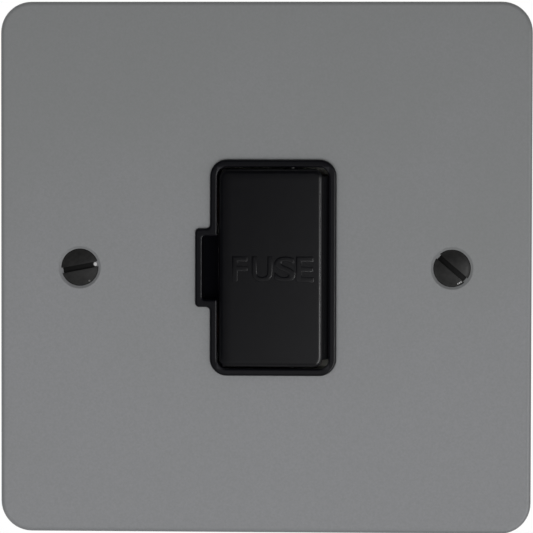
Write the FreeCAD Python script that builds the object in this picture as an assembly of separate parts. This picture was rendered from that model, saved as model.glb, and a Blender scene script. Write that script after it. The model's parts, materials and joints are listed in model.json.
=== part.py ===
import FreeCAD, Part
import math
import os

# Fused spur unit for a single wall box, built piece by piece.
# Millimetres. X runs right across the front, Z is up and the front faces -Y.
# The origin lies midway between the two fixing screws, on the wall plane behind the gasket.

V = FreeCAD.Vector

# Front plate: a margin round the standard fixing centres, 86 mm square in all
fixing_centres = 60.3
plate_margin = 12.85
plate_thickness = 1.5
plate_corner_r = 5.0
plate_edge_r = 0.7
countersink_r = 3.45
plate_stud_r = 1.5
plate_stud_length = 4.6
plate_stud_offset = 3.8
plate_stud_z = 21.0
nut_across_flats = 5.5
nut_height = 2.4
nut_chamfer = 0.35

# Gasket and mounting strap, side by side behind the plate
strap_thickness = 1.0
strap_corner_r = 2.5
strap_slot_r = 2.2
strap_slot_travel = 1.6
strap_land = 0.45
strap_bead_height = 0.35
gasket_inset = 0.7
gasket_gap = 0.4

# Earth tabs bent back from the strap
tab_half_width = 4.4
tab_reach = 10.2
tab_bend_r = 0.6
tab_relief = 0.8

# Fixing screws
screw_r = 1.75
screw_neck_r = 1.55
screw_length = 23.0
screw_tip_chamfer = 0.7
screw_head_r = 3.03
screw_head_rise = 0.5
screw_rim_bevel = 0.25
screw_slot_width = 0.9
screw_slot_depth = 0.75
slot_angle_left = 11.0
slot_angle_right = -41.0

# Bezel: the outline seen from the front, with the lever notch's tab at its left
insert_right = 11.42
insert_left = -8.95
insert_corner_r = 2.7
notch_reach = 2.4
notch_half_height = 6.33
notch_corner_r = 0.65
rim_width = 1.17
rim_proud = 0.9
rim_outer_r = 0.35
rim_inner_r = 0.35
notch_lip = 2.0
notch_depth = 4.4
notch_floor = 1.2
step_margin = 1.4
flange_side_margin = 10.38
flange_end_margin = 8.2
flange_thickness = 1.6
flange_corner_r = 2.0
tube_depth = 2.0
tube_wall = 1.2
pocket_corner_r = 0.4
bearing_wall = 1.5
pad_half = 1.7

# Fuse carrier and its hinge
face_corner_r = 1.5
face_rise = 1.0
face_edge_r = 0.8
face_crown_r = 140.0
panel_thickness = 2.0
hinge_x = 4.0
hinge_depth = 3.9
trunnion_r = 1.0
trunnion_length = 1.5
web_thickness = 1.8
web_heel_r = 1.9
open_angle = 60.0
skirt_thickness = 1.1
skirt_depth = 1.9
shield_thickness = 0.9
shield_back = 0.8
lever_slot_half = 2.6
lever_slot_height = 0.95
cradle_end_gap = 1.7
cradle_arm = 0.9
cradle_reach = 1.5
cradle_lead_in = 0.45

# Cartridge fuse
fuse_length = 25.4
fuse_cap_r = 3.175
fuse_cap_length = 5.6
fuse_cap_wall = 0.3
fuse_cap_step = 0.2
fuse_cap_bevel = 0.35
fuse_bore_r = 1.9
fuse_wire_r = 0.25
fuse_x = -2.4
fuse_behind_panel = 0.325
fuse_end_room = 1.49

# Current-carrying parts
jaw_end_inset = 0.4
sheet = 0.7
jaw_reach = 1.3
jaw_flare = 0.4
strip_width = 4.0
block_width = 7.6
block_length = 7.0
block_depth = 9.4
block_chamfer = 0.35
wire_bore_r = 2.1
wire_bore_depth = 3.5
live_stake_offset = 0.4
neutral_stake_offset = 1.8
stake_r = 1.2
earth_block_length = 8.4
earth_block_height = 7.0
earth_block_depth = 9.0
terminal_screw_r = 1.5
terminal_screw_length = 4.8
terminal_head_r = 2.7
terminal_head_height = 2.2
terminal_slot_width = 0.8
terminal_slot_depth = 1.1

# Base housing
base_depth = 19.0
base_wall = 1.5
base_floor = 1.8
base_rear_chamfer = 0.5
chamber_wall = 1.4
bay_rib = 1.4
access_r = 3.4
channel_half = 3.0
channel_length = 5.6
boss_r = 2.6
side_boss_inset = 3.6
end_boss_inset = 3.9
end_boss_x = -3.0
stop_width = 3.2
stop_length = 5.2
assembly_screw_r = 1.5
assembly_head_r = 2.5
assembly_head_height = 2.0
counterbore_depth = 3.0

# Clearances
rim_in_aperture = 0.06
lever_side_gap = 0.3
hinge_side_gap = 0.95
face_end_gap = 0.3
slide_gap = 0.1
sweep_gap = 0.15
hinge_gap = 0.08
jaw_gap = 0.14
part_gap = 0.1
tab_gap = 0.6
screw_hole_gap = 0.2

# Positions that follow from the sizes above
plate_back = -strap_thickness
plate_front = plate_back - plate_thickness
rim_front = plate_front - rim_proud
face_front = rim_front - face_rise
panel_back = face_front + panel_thickness
hinge_y = rim_front + hinge_depth
flange_back = flange_thickness
tube_back = flange_back + tube_depth
base_back = flange_back + base_depth
floor_y = base_back - base_floor
fixing_x = fixing_centres / 2
plate_half = fixing_x + plate_margin
fuse_y = panel_back + fuse_behind_panel + fuse_cap_r
fuse_body_r = fuse_cap_r - fuse_cap_step
strip_front = fuse_y + fuse_cap_r
strip_back = strip_front + sheet
block_back = strip_back + block_depth
bore_y = strip_back + wire_bore_depth
face_half_height = fuse_length / 2 + fuse_end_room + web_thickness
pocket_half = face_half_height + face_end_gap
insert_half_height = pocket_half + rim_width
notch_left = insert_left - notch_reach
pocket_left = insert_left + rim_width
pocket_right = insert_right - rim_width
face_left = pocket_left + lever_side_gap
face_right = pocket_right - hinge_side_gap
step_half_width = insert_right + step_margin
step_half_height = insert_half_height + step_margin
flange_half_width = step_half_width + flange_side_margin
flange_half_height = insert_half_height + flange_end_margin
plate_stud_x = flange_half_width + plate_stud_offset
strap_half_width = fixing_x + strap_slot_travel + strap_slot_r + strap_land
strap_half_height = flange_half_height + tab_gap + strap_thickness
jaw_z = (fuse_length - fuse_cap_length) / 2
jaw_half_length = fuse_cap_length / 2 - jaw_end_inset
cradle_half_length = fuse_length / 2 - fuse_cap_length - cradle_end_gap
block_x = flange_half_width - base_wall - bay_rib - block_width / 2
block_z = flange_half_height - channel_length - block_length / 2
live_strip_x = live_stake_offset - block_x
link_x = block_x - neutral_stake_offset
side_boss_x = flange_half_width - side_boss_inset
end_boss_z = flange_half_height - end_boss_inset
edge_x = face_right - face_edge_r - hinge_x
edge_y = hinge_y - face_front - face_edge_r
face_reach = math.hypot(edge_x, edge_y) + face_edge_r
shield_r = face_reach - sweep_gap
shield_front = math.sqrt(shield_r ** 2 - (face_right - hinge_x) ** 2)
deep_right = hinge_x + face_reach + sweep_gap
earth_z = strap_half_height + earth_block_height / 2


def box(x0, x1, y0, y1, z0, z1):
    return Part.makeBox(x1 - x0, y1 - y0, z1 - z0, V(x0, y0, z0))


def disc_y(x, z, r, y0, y1):
    return Part.makeCylinder(r, y1 - y0, V(x, y0, z), V(0, 1, 0))


def profile(corners, place):
    """Closed face through corners (a, b, radius), each corner rounded to its radius."""
    points = [V(a, b, 0) for a, b, _ in corners]
    count = len(points)
    turns = []
    for i, (_, _, r) in enumerate(corners):
        p = points[i]
        if r < 0.01:
            turns.append((p, None, p))
            continue
        back = (points[i - 1] - p).normalize()
        ahead = (points[(i + 1) % count] - p).normalize()
        half = back.getAngle(ahead) / 2
        centre = p + (back + ahead).normalize() * (r / math.sin(half))
        middle = centre + (p - centre).normalize() * r
        run = r / math.tan(half)
        turns.append((p + back * run, middle, p + ahead * run))
    edges = []
    for i, (start, middle, stop) in enumerate(turns):
        if middle is not None:
            edges.append(Part.Arc(place(start), place(middle), place(stop)).toShape())
        following = turns[(i + 1) % count][0]
        if (following - stop).Length > 1e-6:
            edges.append(Part.makeLine(place(stop), place(following)))
    return Part.Face(Part.Wire(edges))


def slab_y(corners, y0, y1):
    return profile(corners, lambda q: V(q.x, y0, q.y)).extrude(V(0, y1 - y0, 0))


def slab_z(corners, z0, z1):
    return profile(corners, lambda q: V(q.x, q.y, z0)).extrude(V(0, 0, z1 - z0))


def slab_x(corners, x0, x1):
    return profile(corners, lambda q: V(x0, q.x, q.y)).extrude(V(x1 - x0, 0, 0))


def rectangle(x0, x1, z0, z1, r):
    return [(x0, z0, r), (x1, z0, r), (x1, z1, r), (x0, z1, r)]


def turned_y(points, x, z):
    """Solid of revolution about a Y axis from (radius, y) points, straight between them."""
    wire = Part.makePolygon([V(r, y, 0) for r, y in points + points[:1]])
    body = Part.Face(wire).revolve(V(0, 0, 0), V(0, 1, 0), 360)
    body.translate(V(x, 0, z))
    return body


def edges_on_y(body, y):
    def flat(edge):
        return abs(edge.BoundBox.YMin - y) < 0.01 and abs(edge.BoundBox.YMax - y) < 0.01

    return [e for e in body.Edges if flat(e)]


def flipped(body):
    """The same piece mirrored from the upper half to the lower half."""
    return body.mirror(V(0, 0, 0), V(0, 0, 1))


def insert_corners(inset):
    """Bezel outline moved inwards by inset, anticlockwise seen from behind."""
    right = insert_right - inset
    left = insert_left + inset
    top = insert_half_height - inset
    far = notch_left + inset
    tab = notch_half_height - inset
    outer = max(insert_corner_r - inset, 0.4)
    inner = max(notch_corner_r - inset / 2, 0.3)
    return [
        (right, -top, outer), (right, top, outer), (left, top, outer), (left, tab, notch_corner_r),
        (far, tab, inner), (far, -tab, inner), (left, -tab, notch_corner_r), (left, -top, outer),
    ]


def assembly_points():
    return [
        (-side_boss_x, 0.0), (side_boss_x, 0.0), (end_boss_x, end_boss_z), (end_boss_x, -end_boss_z),
    ]


def stud_points():
    return [(sx * plate_stud_x, sz * plate_stud_z) for sx in (-1, 1) for sz in (-1, 1)]


def front_plate():
    h = plate_half
    body = slab_y(rectangle(-h, h, -h, h, plate_corner_r), plate_front, plate_back)
    body = body.makeFillet(plate_edge_r, edges_on_y(body, plate_front))
    body = body.cut(slab_y(insert_corners(-rim_in_aperture), plate_front - 1, plate_back + 1))
    sink_back = countersink_r - plate_thickness
    for x in (-fixing_x, fixing_x):
        place = V(x, plate_front, 0)
        body = body.cut(Part.makeCone(countersink_r, sink_back, plate_thickness, place, V(0, 1, 0)))
    for x, z in stud_points():
        body = body.fuse(disc_y(x, z, plate_stud_r, plate_back - 0.3, plate_back + plate_stud_length))
    return body.removeSplitter()


def gasket():
    """Foam ring on the wall, open over the strap and its earth terminals."""
    h = plate_half - gasket_inset
    w = strap_half_width + gasket_gap
    v = strap_half_height + earth_block_height + gasket_gap
    body = slab_y(rectangle(-h, h, -h, h, plate_corner_r - gasket_inset), plate_back, 0)
    return body.cut(slab_y(rectangle(-w, w, -v, v, strap_corner_r), plate_back - 1, 1))


def earth_tab():
    """Tab bent back from the strap's upper edge, with the hole its terminal is staked in."""
    top = strap_half_height
    low = top - strap_thickness
    bend = tab_bend_r + strap_thickness
    corners = [
        (plate_back, low - 4.0, 0), (0, low - 4.0, 0), (0, low, tab_bend_r), (tab_reach, low, 0.3),
        (tab_reach, top, 0.3), (plate_back, top, bend),
    ]
    tab = slab_x(corners, -tab_half_width, tab_half_width)
    hole = Part.makeCylinder(stake_r, 3.0, V(0, tab_reach / 2, low - 1), V(0, 0, 1))
    return tab.cut(hole)


def mounting_strap():
    w = strap_half_width
    v = strap_half_height
    body = slab_y(rectangle(-w, w, -v, v, strap_corner_r), plate_back, 0)
    relief = tab_half_width + tab_relief
    notch = box(-relief, relief, plate_back - 1, 1, v - strap_thickness - tab_bend_r - tab_relief, v)
    body = body.cut([notch, flipped(notch)])
    body = body.fuse([earth_tab(), flipped(earth_tab())])
    sw = step_half_width + part_gap
    sv = step_half_height + part_gap
    cuts = [slab_y(rectangle(-sw, sw, -sv, sv, flange_corner_r), plate_back - 1, 1)]
    r = strap_slot_r
    reach = strap_slot_travel + r
    for x in (-fixing_x, fixing_x):
        cuts.append(slab_y(rectangle(x - reach, x + reach, -r, r, r - 0.01), plate_back - 1, 1))
    for x, z in stud_points():
        cuts.append(disc_y(x, z, plate_stud_r + screw_hole_gap, plate_back - 1, 1))
    for x, z in assembly_points():
        cuts.append(disc_y(x, z, assembly_screw_r, plate_back - 1, 1))
    body = body.cut(cuts)
    beads = []
    for sx in (-1, 1):
        for sz in (-1, 1):
            x = sx * (fixing_x - 3.0)
            z = sz * plate_stud_z / 2
            bead = slab_y(rectangle(x - 0.7, x + 0.7, z - 3.6, z + 3.6, 0.69), -0.2, strap_bead_height)
            beads.append(bead)
    return body.fuse(beads).removeSplitter()


def fixing_screw(x, slot_angle):
    """Raised countersunk screw: its cone lies in the plate's countersink, its thread starts at the wall."""
    rim_y = plate_front + countersink_r - screw_head_r
    apex = rim_y - screw_head_rise
    dome_r = (screw_head_r ** 2 + screw_head_rise ** 2) / (2 * screw_head_rise)

    def dome_y(r):
        return apex + dome_r - math.sqrt(dome_r ** 2 - r ** 2)

    shoulder = screw_head_r - screw_rim_bevel
    neck_y = rim_y + screw_head_r - screw_neck_r
    tip = plate_front + screw_length
    start = V(shoulder, dome_y(shoulder), 0)
    path = [
        start, V(screw_head_r, rim_y, 0), V(screw_neck_r, neck_y, 0), V(screw_neck_r, 0, 0),
        V(screw_r, 0, 0), V(screw_r, tip - screw_tip_chamfer, 0), V(screw_r - screw_tip_chamfer, tip, 0),
        V(0, tip, 0), V(0, apex, 0),
    ]
    edges = [Part.Arc(V(0, apex, 0), V(shoulder / 2, dome_y(shoulder / 2), 0), start).toShape()]
    edges += [Part.makeLine(a, b) for a, b in zip(path, path[1:])]
    body = Part.Face(Part.Wire(edges)).revolve(V(0, 0, 0), V(0, 1, 0), 360)
    half = screw_slot_width / 2
    slot = box(-5, 5, apex - 1, apex + screw_slot_depth, -half, half)
    slot.rotate(V(0, 0, 0), V(0, 1, 0), -slot_angle)
    body = body.cut(slot)
    body.translate(V(x, 0, 0))
    return body


def bearing_slot():
    """Upper hinge seat: round in front, open behind so that the carrier drops in from the rear."""
    r = trunnion_r + hinge_gap
    low = pocket_half - 0.5
    high = face_half_height + trunnion_length + 2 * hinge_gap
    seat = Part.makeCylinder(r, high - low, V(hinge_x, hinge_y, low))
    return seat.fuse(box(hinge_x - r, hinge_x + r, hinge_y, tube_back + 1, low, high))


def bezel_moulding():
    fw = flange_half_width
    fv = flange_half_height
    sw = step_half_width
    sv = step_half_height
    half = pocket_half
    tube = half + tube_wall
    seat = trunnion_r + hinge_gap + bearing_wall
    top = notch_half_height
    collar = slab_y(insert_corners(0), rim_front, 0)
    body = collar.fuse([
        slab_y(rectangle(-sw, sw, -sv, sv, flange_corner_r), plate_back, 0),
        slab_y(rectangle(-fw, fw, -fv, fv, flange_corner_r), 0, flange_back),
        slab_y(rectangle(pocket_left - tube_wall, deep_right + tube_wall, -tube, tube, 1.5), 0, tube_back),
        box(hinge_x - seat, hinge_x + seat, 0, tube_back, -sv, sv),
        box(notch_left, pocket_left, 0, rim_front + notch_depth + notch_floor, -top, top),
    ])
    pads = []
    for x in (live_strip_x, link_x):
        for sz in (-1, 1):
            z = sz * (block_z + 0.6)
            p = pad_half
            pads.append(box(x - p, x + p, flange_back - 0.3, strip_front, z - p, z + p))
    body = body.fuse(pads)
    relief_front = rim_front + 1.1
    sweep_right = hinge_x + math.sqrt(face_reach ** 2 - (hinge_y - plate_back) ** 2) + sweep_gap
    r = insert_corner_r - rim_width
    opening = slab_y(rectangle(pocket_left, pocket_right, -half, half, r), rim_front - 1, tube_back + 1)
    top = notch_half_height - rim_width
    far = notch_left + rim_width
    near = pocket_left + 2
    corners = [(far, -top, 0.5), (near, -top, 0), (near, top, 0), (far, top, 0.5)]
    notch = slab_y(corners, rim_front - 1, rim_front + notch_depth)
    ramp = slab_z([
        (notch_left, rim_front + notch_lip, 0), (pocket_left, rim_front + notch_depth, 0),
        (pocket_left, rim_front + notch_depth + 1, 0), (notch_left, rim_front + notch_depth + 1, 0),
    ], -top, top)
    body = body.cut(opening.fuse(notch.cut(ramp)).removeSplitter())
    outer = [e for e in edges_on_y(body, rim_front) if on_outline(e)]
    body = body.makeFillet(rim_outer_r, outer)
    inner = edges_on_y(body, rim_front)
    inner = [e for e in inner if not near_outline(e)]
    body = body.makeFillet(rim_inner_r, inner)
    cuts = [
        slab_y(rectangle(near, sweep_right, -half, half, pocket_corner_r), relief_front, plate_back),
        slab_y(rectangle(near, deep_right, -half, half, pocket_corner_r), plate_back - 0.01, tube_back + 1),
        bearing_slot(),
        flipped(bearing_slot()),
    ]
    for x, z in assembly_points():
        cuts.append(disc_y(x, z, assembly_screw_r + screw_hole_gap, -1, flange_back + 1))
    return body.cut(cuts).removeSplitter()


def outline_distance(edge, inset):
    """How far an edge's middle lies from the bezel outline moved inwards by inset."""
    middle = edge.valueAt((edge.FirstParameter + edge.LastParameter) / 2)
    wire = profile(insert_corners(inset), lambda q: V(q.x, middle.y, q.y)).OuterWire
    return wire.distToShape(Part.Vertex(middle))[0]


def on_outline(edge):
    return outline_distance(edge, 0) < 0.01


def near_outline(edge):
    return outline_distance(edge, 0) < rim_width * 0.7


def carrier_web():
    """Upper end web: a shallow rib behind the panel that deepens round the hinge pin."""
    high = face_half_height
    low = high - web_thickness
    heel = hinge_x + web_heel_r
    shallow = panel_back + 1.6
    deep = hinge_y + web_heel_r
    near = face_left + 0.6
    corners = [
        (near, panel_back - 0.5, 0), (heel, panel_back - 0.5, 0), (heel, deep, web_heel_r - 0.05),
        (hinge_x - web_heel_r, deep, web_heel_r - 0.4), (hinge_x - web_heel_r - 2.2, shallow, 1.0),
        (near, shallow, 0.6),
    ]
    web = slab_z(corners, low, high)
    pin = Part.makeCylinder(trunnion_r, trunnion_length + 1, V(hinge_x, hinge_y, high - 1))
    pin = pin.makeChamfer(0.25, [e for e in pin.Edges if e.BoundBox.ZMin > high + trunnion_length - 0.01])
    return web.fuse(pin)


def carrier_cradle():
    """Open clip behind the panel that grips the fuse by its ceramic body."""
    outer = fuse_body_r + cradle_arm
    back = fuse_y + cradle_reach
    half = cradle_half_length
    block = slab_z([
        (fuse_x - outer, panel_back - 0.5, 0), (fuse_x + outer, panel_back - 0.5, 0),
        (fuse_x + outer, back, 0.35), (fuse_x - outer, back, 0.35),
    ], -half, half)
    hollow = Part.makeCylinder(fuse_body_r, 2 * half + 2, V(fuse_x, fuse_y, -half - 1))
    mouth = math.sqrt(fuse_body_r ** 2 - (cradle_reach - cradle_lead_in) ** 2)
    throat = slab_z([
        (fuse_x - mouth, back - cradle_lead_in, 0), (fuse_x + mouth, back - cradle_lead_in, 0),
        (fuse_x + mouth + cradle_lead_in, back + 1, 0), (fuse_x - mouth - cradle_lead_in, back + 1, 0),
    ], -half - 1, half + 1)
    waist = box(fuse_x - mouth, fuse_x + mouth, fuse_y, back, -half - 1, half + 1)
    finger_gap = box(fuse_x - outer - 1, fuse_x + outer + 1, fuse_y - 1.2, back + 1, -0.6, 0.6)
    return block.cut([hollow, throat, waist, finger_gap])


def carrier_shield():
    """Wall curved round the hinge, from the face's right edge back, that closes the gap there."""
    v = face_half_height - face_corner_r * 0.8
    outer = Part.makeCylinder(shield_r, 2 * v, V(hinge_x, hinge_y, -v))
    wall = outer.cut(Part.makeCylinder(shield_r - shield_thickness, 2 * v + 2, V(hinge_x, hinge_y, -v - 1)))
    side = box(hinge_x, hinge_x + shield_r + 1, hinge_y - shield_front, hinge_y + shield_back, -v, v)
    return wall.common(side)


def carrier_panel():
    """Front panel with a slightly crowned face, highest over the hinge."""
    v = face_half_height
    panel = slab_y(rectangle(face_left, face_right, -v, v, face_corner_r), face_front, panel_back)
    drum = Part.makeCylinder(face_crown_r, 4 * v, V(hinge_x, face_front + face_crown_r, -2 * v))
    panel = panel.common(drum)
    return panel.makeFillet(face_edge_r, [e for e in panel.Edges if e.BoundBox.YMax < panel_back - 0.01])


def fuse_carrier():
    end = face_half_height - face_corner_r
    skirt_right = face_left + skirt_thickness
    skirt = box(face_left, skirt_right, panel_back - 0.3, panel_back + skirt_depth, -end, end)
    behind = [skirt, carrier_shield(), carrier_web(), flipped(carrier_web()), carrier_cradle()]
    body = carrier_panel().fuse(behind)
    slot_y = panel_back + 0.35
    w = lever_slot_half
    slot = box(face_left - 1, skirt_right + 0.5, slot_y, slot_y + lever_slot_height, -w, w)
    return body.cut(slot).removeSplitter()


def fuse_tube():
    half = fuse_length / 2 - fuse_cap_wall
    neck = fuse_cap_r - fuse_cap_wall
    shoulder = fuse_length / 2 - fuse_cap_length
    body = Part.makeCylinder(neck, 2 * half, V(fuse_x, fuse_y, -half))
    body = body.fuse(Part.makeCylinder(fuse_body_r, 2 * shoulder, V(fuse_x, fuse_y, -shoulder)))
    bore = Part.makeCylinder(fuse_bore_r, 2 * half + 2, V(fuse_x, fuse_y, -half - 1))
    return body.cut(bore).removeSplitter()


def fuse_wire():
    half = fuse_length / 2 - fuse_cap_wall
    return Part.makeCylinder(fuse_wire_r, 2 * half, V(fuse_x, fuse_y, -half))


def fuse_cap():
    """Upper end cap: a drawn cup over the tube's reduced end."""
    end = fuse_length / 2
    mouth = end - fuse_cap_length
    cap = Part.makeCylinder(fuse_cap_r, fuse_cap_length, V(fuse_x, fuse_y, mouth))
    cap = cap.makeChamfer(fuse_cap_bevel, [e for e in cap.Edges if e.BoundBox.ZMin > end - 0.01])
    neck = V(fuse_x, fuse_y, mouth - fuse_cap_wall)
    return cap.cut(Part.makeCylinder(fuse_cap_r - fuse_cap_wall, fuse_cap_length, neck))


def fuse_contact():
    """Upper contact: sprung jaws round the cap, on a strip that runs left to the live terminal."""
    inner = fuse_cap_r + jaw_gap
    outer = inner + sheet
    tip = fuse_y - jaw_reach
    knee = tip + 0.9
    low = jaw_z - jaw_half_length
    high = jaw_z + jaw_half_length
    arms = []
    for side in (-1, 1):
        a = fuse_x + side * inner
        b = fuse_x + side * outer
        flare = side * jaw_flare
        root = strip_front + 0.1
        inside = [(a, root, 0), (a, knee, 0), (a + flare, tip, 0)]
        outside = [(b + flare, tip, 0), (b, knee, 0), (b, root, 0)]
        arms.append(slab_z(inside + outside, low, high))
    left = live_strip_x - strip_width / 2
    right = live_strip_x + strip_width / 2
    end = block_z + block_length / 2 - 0.6
    strip = slab_y([
        (fuse_x + outer, low, 0.2), (fuse_x + outer, high, 0.2), (right, high, 0.8), (right, end, 0.6),
        (left, end, 0.6), (left, low, 1.2),
    ], strip_front, strip_back)
    hole = disc_y(live_strip_x, block_z, stake_r, strip_front - 1, strip_back + 1)
    return strip.fuse(arms).cut(hole).removeSplitter()


def neutral_link():
    half = strip_width / 2
    end = block_z + block_length / 2 - 0.6
    link = slab_y(rectangle(link_x - half, link_x + half, -end, end, 0.6), strip_front, strip_back)
    holes = [disc_y(link_x, sz * block_z, stake_r, strip_front - 1, strip_back + 1) for sz in (-1, 1)]
    return link.cut(holes)


def terminal(side, stake_x):
    """Upper mains terminal on the given side: a bored block staked through its strip."""
    x = side * block_x
    w = block_width / 2
    low = block_z - block_length / 2
    high = block_z + block_length / 2
    block = box(x - w, x + w, strip_back, block_back, low, high)
    block = block.makeChamfer(block_chamfer, edges_on_y(block, block_back))
    bore = Part.makeCylinder(wire_bore_r, block_length + 2, V(x, bore_y, low - 1))
    tapping = disc_y(x, block_z, terminal_screw_r, bore_y, block_back + 1)
    stake = disc_y(stake_x, block_z, stake_r, strip_front, strip_back + 0.3)
    return block.fuse(stake).cut([bore, tapping]).removeSplitter()


def earth_terminal():
    """Upper earth terminal: a bored block staked in the strap's bent tab."""
    w = earth_block_length / 2
    y0 = tab_reach / 2 - earth_block_depth / 2
    y1 = y0 + earth_block_depth
    z0 = strap_half_height
    block = box(-w, w, y0, y1, z0, z0 + earth_block_height)
    block = block.makeChamfer(block_chamfer, edges_on_y(block, y1))
    stake = Part.makeCylinder(stake_r, strap_thickness + 0.3, V(0, tab_reach / 2, z0 - strap_thickness))
    bore = Part.makeCylinder(wire_bore_r, 2 * w + 2, V(-w - 1, y0 + wire_bore_depth, earth_z), V(1, 0, 0))
    tapping = disc_y(0, earth_z, terminal_screw_r, y0 + wire_bore_depth, y1 + 1)
    return block.fuse(stake).cut([bore, tapping]).removeSplitter()


def terminal_screw(x, z, bore_centre_y, slot_angle):
    """Slotted screw, run back so that the conductor's bore is clear."""
    tip = bore_centre_y + wire_bore_r + 0.3
    seat = tip + terminal_screw_length
    top = seat + terminal_head_height
    r = terminal_screw_r
    points = [
        (0, tip), (r - 0.4, tip), (r, tip + 0.4), (r, seat), (terminal_head_r, seat),
        (terminal_head_r, top - 0.4), (terminal_head_r - 0.4, top), (0, top),
    ]
    body = turned_y(points, 0, 0)
    half = terminal_slot_width / 2
    slot = box(-4, 4, top - terminal_slot_depth, top + 1, -half, half)
    slot.rotate(V(0, 0, 0), V(0, 1, 0), slot_angle)
    body = body.cut(slot)
    body.translate(V(x, 0, z))
    return body


def assembly_screw(x, z, slot_angle):
    """Long screw from the rear, through base and bezel, into the strap."""
    seat = base_back - counterbore_depth
    top = seat + assembly_head_height
    tip = plate_back + 0.05
    r = assembly_screw_r
    points = [
        (0, tip), (r - 0.2, tip), (r, tip + 0.2), (r, seat), (assembly_head_r, seat),
        (assembly_head_r, top - 0.4), (assembly_head_r - 0.4, top), (0, top),
    ]
    body = turned_y(points, 0, 0)
    half = terminal_slot_width / 2
    slot = box(-4, 4, top - terminal_slot_depth, top + 1, -half, half)
    slot.rotate(V(0, 0, 0), V(0, 1, 0), slot_angle)
    body = body.cut(slot)
    body.translate(V(x, 0, z))
    return body


def plate_nut(x, z):
    corner_r = nut_across_flats / math.sqrt(3)
    turns = [math.radians(60 * k) for k in range(6)]
    hexagon = [(x + corner_r * math.cos(turn), z + corner_r * math.sin(turn), 0) for turn in turns]
    body = slab_y(hexagon, 0, nut_height)
    r = nut_across_flats / 2
    rim = corner_r + 0.01
    shoulder = nut_height - nut_chamfer
    bevel = turned_y([(0, 0), (rim, 0), (rim, shoulder), (r, nut_height), (0, nut_height)], x, z)
    return body.common(bevel).cut(disc_y(x, z, plate_stud_r, -1, nut_height + 1))


def terminal_bay(side):
    """Upper seat of a mains terminal in the base: rear pad, side rib, wire stop and entry channel."""
    x = side * block_x
    w = block_width / 2 + part_gap
    low = block_z - block_length / 2 - part_gap
    high = block_z + block_length / 2 + part_gap
    wall_x = flange_half_width - base_wall
    wall_z = flange_half_height - base_wall
    x0, x1 = sorted((side * (block_x + w), side * (wall_x + 0.3)))
    back = floor_y + 0.3
    end = wall_z + 0.3
    low_rib = low - 1.2
    across = channel_half + 0.3
    return [
        box(x - w, x + w, block_back, back, low, high),
        box(x0, x1, strip_back, back, low_rib, end),
        box(x - w - 0.2, x + w + 0.2, strip_back, back, low_rib, low),
        box(x - w - 0.2, x - channel_half, strip_back, back, high, end),
        box(x + channel_half, x + w + 0.2, strip_back, back, high, end),
        box(x - across, x + across, bore_y + channel_half, back, high, end),
    ]


def base_housing():
    fw = flange_half_width
    fv = flange_half_height
    body = slab_y(rectangle(-fw, fw, -fv, fv, flange_corner_r), flange_back, base_back)
    body = body.makeChamfer(base_rear_chamfer, edges_on_y(body, base_back))
    w = fw - base_wall
    v = fv - base_wall
    body = body.cut(slab_y(rectangle(-w, w, -v, v, 0.8), flange_back - 1, floor_y))
    left = pocket_left - part_gap
    right = deep_right + part_gap
    half = pocket_half + part_gap
    front = tube_back + part_gap
    back = floor_y + 0.3
    end = half + chamber_wall
    ring = slab_y(rectangle(left - chamber_wall, right + chamber_wall, -end, end, 1.2), front, back)
    ring = ring.cut(slab_y(rectangle(left, right, -half, half, 0.8), front - 1, floor_y + 1))
    solids = [ring]
    for side in (-1, 1):
        solids += terminal_bay(side)
        solids += [flipped(rib) for rib in terminal_bay(side)]
    swung = math.asin(shield_back / shield_r) + math.radians(open_angle)
    stop_y = hinge_y + shield_r * math.sin(swung) + slide_gap
    keeper_front = hinge_y + trunnion_r + hinge_gap
    for sz in (-1, 1):
        z0, z1 = sorted((sz * (jaw_z - jaw_half_length), sz * (jaw_z + jaw_half_length)))
        solids.append(box(fuse_x - fuse_cap_r, fuse_x + fuse_cap_r, strip_back, back, z0, z1))
        z0, z1 = sorted((sz * (half - stop_width), sz * (half + 0.3)))
        solids.append(box(right - stop_length, right + 0.3, stop_y, back, z0, z1))
        z0, z1 = sorted((sz * half, sz * (face_half_height + trunnion_length)))
        solids.append(box(hinge_x - trunnion_r, hinge_x + trunnion_r, keeper_front, front + 0.3, z0, z1))
    body = body.fuse(solids)
    cuts = []
    for x, z in assembly_points():
        cuts.append(disc_y(x, z, assembly_screw_r + screw_hole_gap, flange_back - 1, base_back + 1))
        cuts.append(disc_y(x, z, assembly_head_r + 0.4, base_back - counterbore_depth, base_back + 1))
    bosses = [disc_y(x, z, boss_r, flange_back, back) for x, z in assembly_points()]
    shelf = base_back - counterbore_depth - 1.4
    collars = [disc_y(x, z, assembly_head_r + 1.5, shelf, back) for x, z in assembly_points()]
    body = body.fuse(bosses + collars)
    for sx in (-1, 1):
        for sz in (-1, 1):
            x = sx * block_x
            cuts.append(disc_y(x, sz * block_z, access_r, block_back - 0.5, base_back + 1))
            z0, z1 = sorted((sz * (block_z + block_length / 2 + part_gap + 0.3), sz * (fv + 1)))
            c = channel_half
            cuts.append(box(x - c, x + c, bore_y - c, bore_y + c, z0, z1))
    for sz in (-1, 1):
        low = jaw_z - jaw_half_length - part_gap
        high = jaw_z + jaw_half_length + part_gap
        z0, z1 = sorted((sz * low, sz * high))
        cuts.append(box(left - chamber_wall - 1, left + 0.5, front - 1, strip_back, z0, z1))
        z0, z1 = sorted((sz * (jaw_z - 1.2), sz * (jaw_z + 1.2)))
        cuts.append(box(fuse_x - 2.0, fuse_x + 2.0, strip_back + 2.0, base_back + 1, z0, z1))
    body = body.cut(cuts)
    trim = slab_y(rectangle(-fw, fw, -fv, fv, flange_corner_r), -5, base_back)
    return body.common(trim).removeSplitter()


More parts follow.
